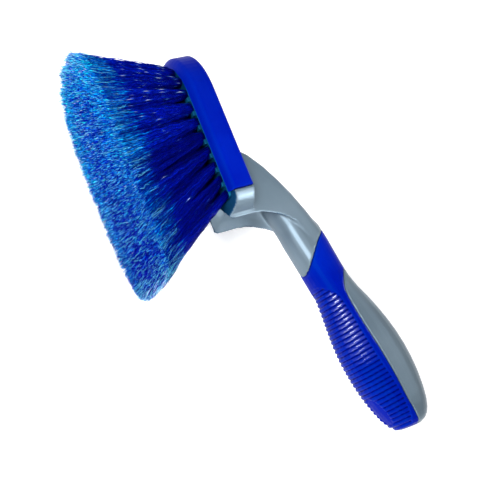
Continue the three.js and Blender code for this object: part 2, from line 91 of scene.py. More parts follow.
def addNoise(tree, scale, detail=4.0):
    coordinates = tree.nodes.new("ShaderNodeTexCoord")
    noise = tree.nodes.new("ShaderNodeTexNoise")
    noise.inputs["Scale"].default_value = scale
    noise.inputs["Detail"].default_value = detail
    tree.links.new(coordinates.outputs["Object"], noise.inputs["Vector"])
    return noise.outputs["Fac"]


def addRamp(tree, source, stops):
    ramp = tree.nodes.new("ShaderNodeValToRGB")
    elements = ramp.color_ramp.elements
    elements[0].position = stops[0][0]
    elements[1].position = stops[-1][0]
    for position, colour in stops[1:-1]:
        elements.new(position)
    for element, (position, colour) in zip(elements, stops):
        element.color = (*colour, 1)
    tree.links.new(source, ramp.inputs["Fac"])
    return ramp.outputs["Color"]


# Two close tones, each with its place on the ramp, that drift into each other over the surface
def addDrift(tree, scale, low, high):
    return addRamp(tree, addNoise(tree, scale), [low, high])


def addMix(tree, factor, first, second, blend="MIX"):
    mix = tree.nodes.new("ShaderNodeMix")
    mix.data_type = "RGBA"
    mix.blend_type = blend
    if isinstance(factor, (int, float)):
        mix.inputs["Factor"].default_value = factor
    else:
        tree.links.new(factor, mix.inputs["Factor"])
    for colour, name in ((first, "A"), (second, "B")):
        socket = [s for s in mix.inputs if s.name == name and s.type == "RGBA"][0]
        if isinstance(colour, tuple):
            socket.default_value = (*colour, 1)
        else:
            tree.links.new(colour, socket)
    return [s for s in mix.outputs if s.type == "RGBA"][0]


def addMath(tree, operation, source, value=0.0):
    node = tree.nodes.new("ShaderNodeMath")
    node.operation = operation
    node.inputs[1].default_value = value
    tree.links.new(source, node.inputs[0])
    return node.outputs["Value"]


def addPaint(tree, name):
    paint = tree.nodes.new("ShaderNodeAttribute")
    paint.attribute_name = name
    return paint


grainBump = {"detail": 2.0, "strength": 0.06, "distance": 0.0002}


# The fine grain of a moulded surface
def addGrain(tree, shader, scale):
    bump = tree.nodes.new("ShaderNodeBump")
    bump.inputs["Strength"].default_value = grainBump["strength"]
    bump.inputs["Distance"].default_value = grainBump["distance"]
    tree.links.new(addNoise(tree, scale, grainBump["detail"]), bump.inputs["Height"])
    tree.links.new(bump.outputs["Normal"], shader.inputs["Normal"])


# The teal tones are painted shade, for the faces of the grey plastic that turn away from the light
greyFinish = {
    "drift": 22, "dark": (0.35, (0.10, 0.145, 0.185)), "light": (0.65, (0.13, 0.18, 0.222)),
    "shadeTealDrift": 60, "shadeTealDark": (0.3, (0.0, 0.022, 0.055)), "shadeTealLight": (0.7, (0.0, 0.045, 0.115)),
    "roughness": 0.4, "metallic": 0.45, "specular": 0.4, "grain": 900}


# Satin grey plastic; where the paint says so it turns dark teal, painted shade on the faces that turn
# away from the light
def makeGreyPlastic():
    material, tree, shader = newMaterial("greySatinPlastic")
    grey = addDrift(tree, greyFinish["drift"], greyFinish["dark"], greyFinish["light"])
    shadeTeal = addDrift(tree, greyFinish["shadeTealDrift"], greyFinish["shadeTealDark"], greyFinish["shadeTealLight"])
    tealShadeMask = addPaint(tree, "tealShadeMask").outputs["Fac"]
    tree.links.new(addMix(tree, tealShadeMask, grey, shadeTeal), shader.inputs["Base Color"])
    shader.inputs["Roughness"].default_value = greyFinish["roughness"]
    shader.inputs["Metallic"].default_value = greyFinish["metallic"]
    shader.inputs["Specular IOR Level"].default_value = greyFinish["specular"]
    addGrain(tree, shader, greyFinish["grain"])
    return material


rubberFinish = {
    "drift": 40, "dark": (0.3, (0.0, 0.004, 0.26)), "light": (0.7, (0.0, 0.009, 0.31)),
    "roughness": 0.42, "ior": 1.15, "tint": (0.0, 0.6, 1.0), "grain": 1500,
    "polish": 1.0, "polishRoughness": 0.2, "polishIor": 1.8,
    # painted shade in the grooves, painted cyan highlight on the ribs
    "reliefShading": [(0.1, (0.1, 0.1, 0.36)), (0.38, (1.0, 1.0, 0.9)), (0.62, (1.0, 1.0, 0.9)),
               (0.95, (1.0, 2.2, 0.95))]}


# Satin blue rubber: the paint puts painted shade in its grooves and a painted highlight on its ribs,
# and polishes some of them
def makeBlueRubber():
    material, tree, shader = newMaterial("blueSatinRubber")
    blue = addDrift(tree, rubberFinish["drift"], rubberFinish["dark"], rubberFinish["light"])
    reliefShading = addRamp(tree, addPaint(tree, "reliefShading").outputs["Fac"], rubberFinish["reliefShading"])
    tree.links.new(addMix(tree, 1.0, blue, reliefShading, "MULTIPLY"), shader.inputs["Base Color"])
    rubbed = addPaint(tree, "polish").outputs["Fac"]
    polish = addMath(tree, "MULTIPLY", rubbed, rubberFinish["polish"])
    tree.links.new(polish, shader.inputs["Coat Weight"])
    shader.inputs["Coat Roughness"].default_value = rubberFinish["polishRoughness"]
    shader.inputs["Coat IOR"].default_value = rubberFinish["polishIor"]
    shader.inputs["Roughness"].default_value = rubberFinish["roughness"]
    shader.inputs["IOR"].default_value = rubberFinish["ior"]
    shader.inputs["Specular Tint"].default_value = (*rubberFinish["tint"], 1)
    addGrain(tree, shader, rubberFinish["grain"])
    return material


# edge is the colour of the painted highlight along the plate's edge
plateFinish = {
    "drift": 60, "dark": (0.3, (0.0, 0.018, 0.055)), "light": (0.7, (0.001, 0.045, 0.12)),
    "edge": (0.008, 0.13, 0.25), "roughness": 0.4, "specular": 0.3, "tint": (0.1, 0.6, 1.0)}


# Dark teal of the tuft plate, painted shade among the tufts, with a painted highlight where the paint
# marks its edge
def makePlateShadeTeal():
    material, tree, shader = newMaterial("tealPlateShade")
    shadeTeal = addDrift(tree, plateFinish["drift"], plateFinish["dark"], plateFinish["light"])
    edge = addPaint(tree, "edge").outputs["Fac"]
    tree.links.new(addMix(tree, edge, shadeTeal, plateFinish["edge"]), shader.inputs["Base Color"])
    shader.inputs["Roughness"].default_value = plateFinish["roughness"]
    shader.inputs["Specular IOR Level"].default_value = plateFinish["specular"]
    shader.inputs["Specular Tint"].default_value = (*plateFinish["tint"], 1)
    return material


filamentFinish = {
    "length": [(0.0, (0.0, 0.002, 0.24)), (0.15, (0.0, 0.005, 0.42)), (0.6, (0.0, 0.008, 0.52)),
               (0.67, (0.0, 0.18, 0.88)), (0.78, (0.0, 0.16, 0.78)), (0.86, (0.0, 0.11, 0.6)),
               (0.98, (0.01, 0.46, 0.74))],
    "boundary": 0.64,  # where the navy ends on the length ramp
    "shade": [(0.0, (0.05, 0.08, 0.25)), (0.7, (0.9, 0.85, 1.0)), (1.0, (2.4, 2.6, 1.5))],
    "waves": 11,
    "crimpLighting": [(0.0, (0.8, 0.8, 0.85)), (0.5, (1.0, 1.0, 1.0)), (1.0, (1.5, 2.4, 1.45))],
    "clear": (0.2, 0.85, 1.0),
    "glintMask": [(0.45, (0.0, 0.0, 0.0)), (0.95, (1.0, 1.0, 1.0))],
    "glint": [(0.55, (0.02, 0.35, 1.0)), (0.95, (0.85, 0.95, 1.0))],
    "roughness": 0.35, "specular": 0.06, "tint": (0.0, 0.3, 1.0)}


# The paint holds the place along the filament, its own shade, its clearness and its painted glints;
# painted crimp light and shade runs in bands along it
def makeFilament():
    material, tree, shader = newMaterial("blueFilament")
    paint = addPaint(tree, "strand")
    split = tree.nodes.new("ShaderNodeSeparateColor")
    tree.links.new(paint.outputs["Color"], split.inputs["Color"])
    along, own, clear = split.outputs["Red"], split.outputs["Green"], split.outputs["Blue"]
    dye = addRamp(tree, along, filamentFinish["length"])
    shaded = addMix(tree, 1.0, dye, addRamp(tree, own, filamentFinish["shade"]), "MULTIPLY")
    # Painted highlight and shade in bands along the filament, where its crimp catches the light
    swing = addMath(tree, "MULTIPLY", along, filamentFinish["waves"] * 2 * math.pi)
    crimpLighting = addRamp(tree, addMath(tree, "SINE", swing), filamentFinish["crimpLighting"])
    crimpLit = addMix(tree, 1.0, shaded, crimpLighting, "MULTIPLY")
    flagged = addMix(tree, clear, crimpLit, filamentFinish["clear"])
    mask = addRamp(tree, paint.outputs["Alpha"], filamentFinish["glintMask"])
    glint = addRamp(tree, paint.outputs["Alpha"], filamentFinish["glint"])
    tree.links.new(addMix(tree, mask, flagged, glint), shader.inputs["Base Color"])
    shader.inputs["Roughness"].default_value = filamentFinish["roughness"]
    shader.inputs["Specular IOR Level"].default_value = filamentFinish["specular"]
    shader.inputs["Specular Tint"].default_value = (*filamentFinish["tint"], 1)
    return material


anchorFinish = {"drift": 400, "dark": (0.3, (0.5, 0.5, 0.5)), "light": (0.7, (0.65, 0.65, 0.66)),
                "roughness": 0.3}


def makeAnchorMetal():
    material, tree, shader = newMaterial("brightAnchorMetal")
    steel = addDrift(tree, anchorFinish["drift"], anchorFinish["dark"], anchorFinish["light"])
    tree.links.new(steel, shader.inputs["Base Color"])
    shader.inputs["Metallic"].default_value = 1
    shader.inputs["Roughness"].default_value = anchorFinish["roughness"]
    return material


greyPlastic = makeGreyPlastic()
blueRubber = makeBlueRubber()
plateShadeTeal = makePlateShadeTeal()
filament = makeFilament()
anchorMetal = makeAnchorMetal()
print("materials made")


# Helpers for pieces

def activate(piece):
    bpy.ops.object.select_all(action="DESELECT")
    piece.select_set(True)
    bpy.context.view_layer.objects.active = piece


def dress(piece, material):
    piece.data.materials.clear()
    piece.data.materials.append(material)
    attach(piece, "root")


def applyModifiers(piece):
    activate(piece)
    for modifier in list(piece.modifiers):
        bpy.ops.object.modifier_apply(modifier=modifier.name)


# Every vertex of a mesh in the block's millimetres
def readPlaces(mesh):
    places = np.empty(len(mesh.vertices) * 3)
    mesh.vertices.foreach_get("co", places)
    return (places.reshape(-1, 3) - np.array(blockZero)) / mm


def readNormals(mesh):
    normals = np.empty(len(mesh.vertices) * 3)
    mesh.vertices.foreach_get("normal", normals)
    return normals.reshape(-1, 3)


def paintVertices(mesh, name, values):
    layer = mesh.attributes.new(name, "FLOAT", "POINT")
    layer.data.foreach_set("value", values.astype(np.float32))


# Shells: the three moulded forms, with the soft edges that moulding gives them

bodySoftness = {"voxel": 0.6, "rounds": 4, "factor": 0.5}
gripSoftness = {"voxel": 0.405, "rounds": 2, "factor": 0.4}
bandSoftness = {"voxel": 0.4, "rounds": 3, "factor": 0.5}
weldDistance = 0.00001  # in metres


def copyOfNode(node, name):
    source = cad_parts[node]
    piece = source.copy()
    piece.data = source.data.copy()
    piece.name = name
    piece.parent = None
    for key in list(piece.keys()):
        if key.startswith("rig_"):
            del piece[key]
    bpy.context.scene.collection.objects.link(piece)
    activate(piece)
    bpy.ops.object.mode_set(mode="EDIT")
    bpy.ops.mesh.select_all(action="SELECT")
    bpy.ops.mesh.remove_doubles(threshold=weldDistance)
    bpy.ops.object.mode_set(mode="OBJECT")
    return piece


def softenedCopy(node, name, softness):
    piece = copyOfNode(node, name)
    remesh = piece.modifiers.new("skin", "REMESH")
    remesh.mode = "VOXEL"
    remesh.voxel_size = softness["voxel"] * mm
    smooth = piece.modifiers.new("soften", "SMOOTH")
    smooth.factor = softness["factor"]
    smooth.iterations = softness["rounds"]
    applyModifiers(piece)
    bpy.ops.object.shade_smooth()
    print(name, len(piece.data.polygons), "faces")
    return piece


tealShadeZone = {
    "faceY": 1.4, "faceEndX": 102, "faceTurn": -0.55,
    "lipZ": (11.5, 13.2), "lipX": (98.5, 128),
    "lipAxis": (0.85, -0.52), "lipTurn": 0.72}  # the way the lips face, and how squarely


# The face of the block and the lips of the neck's channel, where they face away from the light, take
# the dark teal of painted shade
def paintTealShade(piece):
    places, normals = readPlaces(piece.data), readNormals(piece.data)
    x, y, z = places[:, 0], places[:, 1], np.abs(places[:, 2])
    face = (y < tealShadeZone["faceY"]) & (x < tealShadeZone["faceEndX"])
    face = face & (normals[:, 1] < tealShadeZone["faceTurn"])
    (lowZ, highZ), (lowX, highX) = tealShadeZone["lipZ"], tealShadeZone["lipX"]
    lip = (z > lowZ) & (z < highZ) & (x > lowX) & (x < highX)
    axisX, axisY = tealShadeZone["lipAxis"]
    lip = lip & (normals[:, 0] * axisX + normals[:, 1] * axisY > tealShadeZone["lipTurn"])
    paintVertices(piece.data, "tealShadeMask", np.where(face | lip, 1.0, 0.0))


# Values of a piece's vertices, evened out with their neighbours
def evenOut(mesh, values, rounds):
    edges = np.empty(len(mesh.edges) * 2, dtype=np.int64)
    mesh.edges.foreach_get("vertices", edges)
    one, two = edges.reshape(-1, 2).T
    neighbours = np.bincount(one, minlength=len(values)) + np.bincount(two, minlength=len(values))
    for i in range(rounds):
        total = np.zeros_like(values)
        np.add.at(total, one, values[two])
        np.add.at(total, two, values[one])
        values = total / np.maximum(neighbours, 1)[:, None]
    return values


evenRelief = 0.5  # plain rubber, neither groove nor rib
reliefRange = {"rounds": 6, "depth": 0.18}
polishZone = {"comesX": (151, 155), "goesX": (202, 182), "comesZ": (6, 9), "rounds": 14,
              "ribbed": (0.086, 0.102), "crest": (0, 0.08)}


# Relief is how far a vertex stands above the smoothed skin, from 0 in a groove to 1 on a rib; it
# carries the painted shade of the grooves and the painted highlight of the ribs.
# Polish makes the crests of the first ribs shine at their sides, and leaves the rest matt.
def paintGrip(piece):
    places, normals = readPlaces(piece.data), readNormals(piece.data)
    smoothed = evenOut(piece.data, places, reliefRange["rounds"])
    height = ((places - smoothed) * normals).sum(1)
    reliefShading = evenRelief + height / reliefRange["depth"] * (1 - evenRelief)
    paintVertices(piece.data, "reliefShading", np.clip(reliefShading, 0, 1))
    ribbed = evenOut(piece.data, np.abs(height)[:, None], polishZone["rounds"])[:, 0]
    comes = progress(places[:, 0], *polishZone["comesX"])
    goes = progress(places[:, 0], *polishZone["goesX"])
    polish = np.minimum(comes, goes) * progress(np.abs(places[:, 2]), *polishZone["comesZ"])
    polish = polish * progress(ribbed, *polishZone["ribbed"])
    polish = polish * progress(height, *polishZone["crest"])
    paintVertices(piece.data, "polish", polish)


bandRound = {"startY": 3.4, "faceY": -1.0, "depth": 3.4, "noseX": 27.6, "inner": 17.4, "outer": 21.8}


# The band's outer edge towards the bristles is well rounded
def roundBand(piece):
    places = readPlaces(piece.data)
    x, y, z = places[:, 0], places[:, 1], places[:, 2]
    down = progress(y, bandRound["startY"], bandRound["faceY"])
    inset = bandRound["depth"] * (1 - np.sqrt(1 - down ** 2))
    back = np.minimum(x - bandRound["noseX"], 0)
    reach = np.hypot(back * bandRound["outer"] / (bandRound["noseX"] + bandFit["proud"]), z)
    share = progress(reach, bandRound["inner"], bandRound["outer"])
    pull = 1 - inset * share / np.maximum(reach, 1)
    places[:, 0] = np.where(back < 0, bandRound["noseX"] + back * pull, x)
    places[:, 2] = z * pull
    piece.data.vertices.foreach_set("co", (places * mm + np.array(blockZero)).ravel())
    piece.data.update()


bodyShell = softenedCopy("handle_body", "bodyShell", bodySoftness)
paintTealShade(bodyShell)
dress(bodyShell, greyPlastic)
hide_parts("handle_body")

gripShell = softenedCopy("grip_overmould", "gripShell", gripSoftness)
paintGrip(gripShell)
dress(gripShell, blueRubber)
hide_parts("grip_overmould")

bandShell = softenedCopy("head_bumper", "bandShell", bandSoftness)
roundBand(bandShell)
paintVertices(bandShell.data, "reliefShading", np.full(len(bandShell.data.vertices), evenRelief))
dress(bandShell, blueRubber)
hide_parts("head_bumper")


# Tufts: each row is a piece of crimped filaments and a piece of their flagged ends

tuftLayout = {"pitch": 8.72, "spacing": 9.0, "straight": 8, "outerLast": 87.7, "innerLast": 83.0,
              "outerNose": [(18.8, 12.6), (11.9, 9.3)], "innerNose": [(13.5, 3.9), (7.2, 3.7)],
              "spread": 8.0, "innerSpread": 8.9, "noseSpread": 6.6}


# The root X and Z of every tuft of a row, and how far its tips spread
def rowTufts(side, inner):
    z = tuftLayout["spacing"] * (0.5 if inner else 1.5)
    last = tuftLayout["innerLast"] if inner else tuftLayout["outerLast"]
    spread = tuftLayout["innerSpread"] if inner else tuftLayout["spread"]
    tufts = []
    for i in range(tuftLayout["straight"]):
        tufts.append((last - i * tuftLayout["pitch"], side * z, spread))
    for x, noseZ in tuftLayout["innerNose"] if inner else tuftLayout["outerNose"]:
        tufts.append((x, side * noseZ, tuftLayout["noseSpread"]))
    return tufts


# A three-sided strand one unit long, cut into even steps
def modelStrand(segments):
    bpy.ops.object.select_all(action="DESELECT")
    bpy.ops.mesh.primitive_cylinder_add(vertices=3, radius=1, depth=1, location=(0, 0, 0.5),
                                        end_fill_type="NGON")
    strand = bpy.context.object
    bpy.ops.object.transform_apply(location=True)
    bpy.ops.object.mode_set(mode="EDIT")
    for cut in range(1, segments):
        bpy.ops.mesh.select_all(action="SELECT")
        bpy.ops.mesh.bisect(plane_co=(0, 0, cut / segments), plane_no=(0, 0, 1))
    bpy.ops.mesh.select_all(action="SELECT")
    bpy.ops.mesh.normals_make_consistent(inside=False)
    bpy.ops.mesh.quads_convert_to_tris()
    bpy.ops.object.mode_set(mode="OBJECT")
    points = np.array([v.co for v in strand.data.vertices])
    faces = np.array([p.vertices for p in strand.data.polygons])
    bpy.data.objects.remove(strand)
    print("strand of", segments, "steps:", len(faces), "faces")
    return points, faces


fanShape = {
    "rootX": 45.0, "rootY": 1.0, "rootRadius": 2.1, "tipX": 57.8, "along": 1.7, "across": 1.9,
    "halfLength": 68.7, "halfWidth": 32.0, "power": 4.2,  # the oblong of the tips, squarer with power
    "reach": 57.3, "longestX": 38.0, "shorten": 0.0004, "dish": 0.0006,  # the arc of their trim
    "straggle": 0.3, "wander": 0.12, "endScatter": 0.7,  # how unruly single filaments are
    "opening": (0.55, 1.3), "straight": 0.03}  # a lower opening spreads nearer the plate


# Where the tips end: spread from the roots, trimmed to a rounded oblong and to a shallow arc
def tipPlaces(x, z, spread, offsetX, offsetZ):
    alongX = (x - fanShape["rootX"]) * fanShape["along"] + offsetX * spread
    acrossZ = z * fanShape["across"] + offsetZ * spread
    outline = (np.abs(alongX) / fanShape["halfLength"]) ** fanShape["power"]
    outline = outline + (np.abs(acrossZ) / fanShape["halfWidth"]) ** fanShape["power"]
    pull = np.minimum(1, outline ** (-1 / fanShape["power"]))
    tipX = fanShape["tipX"] + alongX * pull
    tipZ = acrossZ * pull
    reach = fanShape["reach"] - fanShape["shorten"] * (tipX - fanShape["longestX"]) ** 2
    return np.stack([tipX, fanShape["dish"] * tipZ ** 2 - reach, tipZ], -1)


# The line of each filament of a tuft at the given shares of its length: quick to open, then even
def filamentLines(tuft, shares, random):
    x, z, spread = tuft
    count = len(shares)
    radius = np.sqrt(random.random(count)) * (1 + fanShape["straggle"] * random.random(count) ** 2)
    angle = random.random(count) * 2 * math.pi
    offsetX, offsetZ = radius * np.cos(angle), radius * np.sin(angle)
    wander = fanShape["wander"]
    axisRoot = np.array([x, fanShape["rootY"], z])
    axisTip = tipPlaces(x, z, spread, np.zeros(1), np.zeros(1))[0]
    tips = tipPlaces(x, z, spread, offsetX + random.normal(0, wander, count),
                     offsetZ + random.normal(0, wander, count))
    tips[:, 1] += random.normal(0, fanShape["endScatter"], count)
    rootOffset = np.stack([offsetX, np.zeros(count), offsetZ], 1) * fanShape["rootRadius"]
    tipOffset = tips - axisTip
    t = shares[:, :, None]
    rate = random.uniform(*fanShape["opening"], (count, 1, 1))
    opened = progress(t, fanShape["straight"], 1) ** rate
    lines = axisRoot + (axisTip - axisRoot) * t
    return lines + rootOffset[:, None] * (1 - opened) + tipOffset[:, None] * opened


strandTaper = 0.25


# The strand laid along every line, thinner towards the tips, and the step that each point is on
def strandMesh(lines, shares, parts, radius, segments):
    points, faces = parts
    step = np.rint(points[:, 2] * segments).astype(int)
    places = lines[:, step]
    thick = radius * (1 - strandTaper * shares[:, step])
    places[:, :, 0] += points[None, :, 0] * thick
    places[:, :, 2] += points[None, :, 1] * thick
    index = faces[None] + (np.arange(len(lines)) * len(points))[:, None, None]
    return places.reshape(-1, 3), index.reshape(-1, 3), step


# Shared by the filaments and their flagged ends; paleStart is a share of the filament's length, and
# rim is where the painted rim light on the tips comes in
dyeShape = {"paleStart": 0.82, "corner": (57.0, 69.0), "cornerClear": 0.25, "rim": (0.6, 0.95),
            "handleX": 88, "handleNavy": 0.5}


# Nearly clear filaments: a share of them everywhere, and more at the two ends of the brush
def pickClear(lines, share, random):
    corner = progress(np.abs(lines[:, -1, :1] - fanShape["tipX"]), *dyeShape["corner"])
    return random.random((len(lines), 1)) < share + dyeShape["cornerClear"] * corner


# Filaments that stay navy to their ends: more of them towards the handle
def pickNavy(tuft, share, count, random):
    more = dyeShape["handleNavy"] * (tuft[0] / dyeShape["handleX"]) ** 2
    return random.random((count, 1)) < share + more


# How near a filament ends to the brush's two ends or its far side, where the tips are painted
# lightest, as the rim that catches the light
def rimLightShare(lines):
    alongX = np.abs(lines[:, -1, :1] - fanShape["tipX"]) / fanShape["halfLength"]
    acrossZ = -lines[:, -1, 2:] / fanShape["halfWidth"]
    return progress(np.maximum(alongX, acrossZ), *dyeShape["rim"])


# The own shade of each filament, duller towards the handle
def ownShades(tuft, shape, count, random):
    lightest = shape["lightest"] - shape["fall"] * tuft[0] / dyeShape["handleX"]
    return np.clip(random.random((count, 1)) * lightest, 0, 1)


filamentShape = {
    "perTuft": 300, "radius": 0.15, "segments": 10, "stepShift": 0.045,
    "crimp": 0.45, "crimpRange": (0.4, 1.2), "crimpRise": 5, "crimpTurn": 0.5,
    "strayPick": -0.12, "stray": 0.06,  # below nought, it leaves strays at the brush's two ends alone
    "boundaryBlur": 0.06, "tuftBlur": 0.03, "navyShift": 0.5,
    "lightest": 1.2, "fall": 0.25, "clearPick": 0.07, "clearness": 0.7}
glintShape = {"share": 0.264, "least": 0.07, "fromX": 50, "toX": 5, "strength": (0.5, 1),
              "strayEnd": 0.84, "strayFrom": 0.88}


# The long crimped filaments of one tuft, from the plate to their tips
def filamentTuft(tuft, navyAndShade, random):
    shape, glint = filamentShape, glintShape
    count, segments = shape["perTuft"], shape["segments"]
    shares = np.tile(np.arange(segments + 1) / segments, (count, 1))
    shares[:, 1:-1] += random.uniform(-shape["stepShift"], shape["stepShift"], (count, 1))
    lines = filamentLines(tuft, shares, random)

    # Crimp: every other step swings to one side
    crest = (np.arange(segments + 1) + random.integers(2)) % 2
    swing = (2 * crest - 1) * shape["crimp"]
    swing = swing * random.uniform(*shape["crimpRange"], (count, 1))
    swing = swing * np.minimum(1, shares * shape["crimpRise"])
    direction = random.random() * 2 * math.pi + random.normal(0, shape["crimpTurn"], (count, 1))
    lines[:, :, 0] += swing * np.cos(direction)
    lines[:, :, 2] += swing * np.sin(direction)

    # A few strays at the brush's two ends stand longer than the rest
    stray = pickClear(lines, shape["strayPick"], random)
    longer = random.uniform(0, shape["stray"], (count, 1, 1))
    lines += (lines - lines[:, :1]) * stray[:, :, None] * longer
    places, index, step = strandMesh(lines, shares, strandParts, shape["radius"], segments)

    paint = np.zeros((count, len(strandParts[0]), 4))
    shift = filamentFinish["boundary"] - dyeShape["paleStart"]
    shift = shift + random.normal(0, shape["boundaryBlur"], (count, 1))
    shift = shift + random.normal(0, shape["tuftBlur"])
    shift = shift - shape["navyShift"] * pickNavy(tuft, navyAndShade, count, random)
    paint[:, :, 0] = np.clip(shares[:, step] + shift, 0, 1)
    paint[:, :, 1] = ownShades(tuft, shape, count, random)
    clear = pickClear(lines, shape["clearPick"], random)
    paint[:, :, 2] = shape["clearness"] * (clear & (shares[:, step] > dyeShape["paleStart"]))

    # Glints sit on the crests, most of them at the brush's free end, and on the ends of the strays
    nearness = progress(tuft[0], glint["fromX"], glint["toX"])
    shine = glint["share"] * max(nearness, glint["least"])
    lit = (random.random((count, segments + 1)) < shine) & (crest == 1)
    lit = lit * random.uniform(*glint["strength"], (count, segments + 1))
    strayEnd = glint["strayEnd"] * (stray & (shares > glint["strayFrom"]))
    paint[:, :, 3] = np.maximum(lit, strayEnd)[:, step]
    return places, index, paint.reshape(-1, 4)


flagShape = {
    "perTuft": 640, "radius": (0.05, 0.17), "segments": 3, "startBlur": 0.06, "starts": (0.5, 0.9),
    "spread": 1.9, "curl": 0.5, "curlRise": 3, "navyPick": 0.24, "rowNavyAndShade": 0.7, "navyShift": 0.6,
    "paleHead": 0.05, "rimLightShift": 0.18, "lightest": 1.2, "fall": 0.45, "clearPick": 0.1,
    "clearness": 0.8}


# The fine flagged ends of one tuft, which start where the filaments turn pale
def flagTuft(tuft, navyAndShade, random):
    shape = flagShape
    count, segments = shape["perTuft"], shape["segments"]
    start = random.normal(dyeShape["paleStart"], shape["startBlur"], (count, 1))
    start = np.clip(start, *shape["starts"])
    shares = start + (1 - start) * np.arange(segments + 1) / segments
    lines = filamentLines(tuft, shares, random)

    # Flagging: the fine ends drift apart and curl
    away = random.random((count, 1)) * 2 * math.pi
    split = (shares - start) / (1 - start)
    drift = split * random.uniform(0, shape["spread"], (count, 1))
    lines[:, :, 0] += np.cos(away) * drift
    lines[:, :, 2] += np.sin(away) * drift
    curl = random.normal(0, shape["curl"], lines.shape)
    lines += curl * np.minimum(1, split * shape["curlRise"])[:, :, None]
    radius = random.uniform(*shape["radius"], (count, 1))
    places, index, step = strandMesh(lines, shares, flagParts, radius, segments)

    paint = np.zeros((count, len(flagParts[0]), 4))
    # Navy flagged ends, more of them in the inner rows as painted shade deep in the tip face
    dark = pickNavy(tuft, shape["navyPick"] + shape["rowNavyAndShade"] * navyAndShade, count, random)
    along = shares[:, step] + filamentFinish["boundary"] - start + shape["paleHead"]
    # Painted light on the tips at the brush's rim
    along = along + shape["rimLightShift"] * rimLightShare(lines) * split[:, step]
    paint[:, :, 0] = np.clip(along - shape["navyShift"] * dark, 0, 1)
    paint[:, :, 1] = ownShades(tuft, shape, count, random)
    paint[:, :, 2] = shape["clearness"] * pickClear(lines, shape["clearPick"], random)
    return places, index, paint.reshape(-1, 4)


# Navy is a row's own share of filaments that stay navy to their ends; the larger share of the inner
# rows is also painted shade deep in the tip face
rowLooks = {
    "NearOuter": {"node": "tufts_near_outer", "side": 1, "inner": False, "navyAndShade": 0.16, "seed": 11},
    "NearInner": {"node": "tufts_near_inner", "side": 1, "inner": True, "navyAndShade": 0.48, "seed": 12},
    "FarInner": {"node": "tufts_far_inner", "side": -1, "inner": True, "navyAndShade": 0.5, "seed": 13},
    "FarOuter": {"node": "tufts_far_outer", "side": -1, "inner": False, "navyAndShade": 0.10, "seed": 14},
}


def growRow(name, look, grow):
    random = np.random.default_rng(look["seed"])
    places, index, paint, start = [], [], [], 0
    for tuft in rowTufts(look["side"], look["inner"]):
        somePlaces, someFaces, somePaint = grow(tuft, look["navyAndShade"], random)
        places.append(somePlaces)
        index.append(someFaces + start)
        paint.append(somePaint)
        start += len(somePlaces)
    places = np.concatenate(places) * mm + np.array(blockZero)
    mesh = bpy.data.meshes.new(name)
    mesh.from_pydata(places.tolist(), [], np.concatenate(index).tolist())
    layer = mesh.attributes.new("strand", "FLOAT_COLOR", "POINT")
    layer.data.foreach_set("color", np.concatenate(paint).ravel().astype(np.float32))
    mesh.update()
    piece = bpy.data.objects.new(name, mesh)
    bpy.context.scene.collection.objects.link(piece)
    activate(piece)
    bpy.ops.object.shade_smooth()
    dress(piece, filament)
    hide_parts(look["node"])
    print(name, len(mesh.polygons), "faces")


strandParts = modelStrand(filamentShape["segments"])
flagParts = modelStrand(flagShape["segments"])
for rowName, rowLook in rowLooks.items():
    growRow("filaments" + rowName, rowLook, filamentTuft)
    growRow("flaggedEnds" + rowName, rowLook, flagTuft)


# Tuft plate

plateShape = {
    "halfWidth": 17.0, "noseCentre": 27.6, "noseLength": 23.7, "noseSteps": 40,
    "endX": 91.7, "corner": 2.5, "cornerSteps": 6,
    "notchX": 86.6, "notchHalf": 10.5, "notchCurve": 1.7, "notchSteps": 16,
    "faceY": -1.0, "backY": 4.0, "edge": 0.3, "edgeSegments": 2, "rim": 0.7, "edgeHighlight": 0.5,
    "facing": 0.9}


# The plate's outline: rounded nose, straight sides, small end corners and the notch by the arch
def plateLine():
    half, end, corner = plateShape["halfWidth"], plateShape["endX"], plateShape["corner"]
    line = []
    for i in range(plateShape["noseSteps"] + 1):
        angle = math.pi * (i / plateShape["noseSteps"] - 0.5)
        noseX = plateShape["noseCentre"] - plateShape["noseLength"] * math.cos(angle)
        line.append((noseX, half * math.sin(angle)))
    for i in range(plateShape["cornerSteps"] + 1):
        angle = math.pi / 2 * (1 - i / plateShape["cornerSteps"])
        line.append((end - corner + corner * math.cos(angle),
                     half - corner + corner * math.sin(angle)))
    for i in range(plateShape["notchSteps"] + 1):
        z = plateShape["notchHalf"] * (1 - 2 * i / plateShape["notchSteps"])
        depth = 1 - abs(z / plateShape["notchHalf"]) ** plateShape["notchCurve"]
        line.append((end - (end - plateShape["notchX"]) * depth, z))
    for i in range(plateShape["cornerSteps"] + 1):
        angle = math.pi / 2 * i / plateShape["cornerSteps"]
        line.append((end - corner + corner * math.cos(angle),
                     -half + corner - corner * math.sin(angle)))
    return line


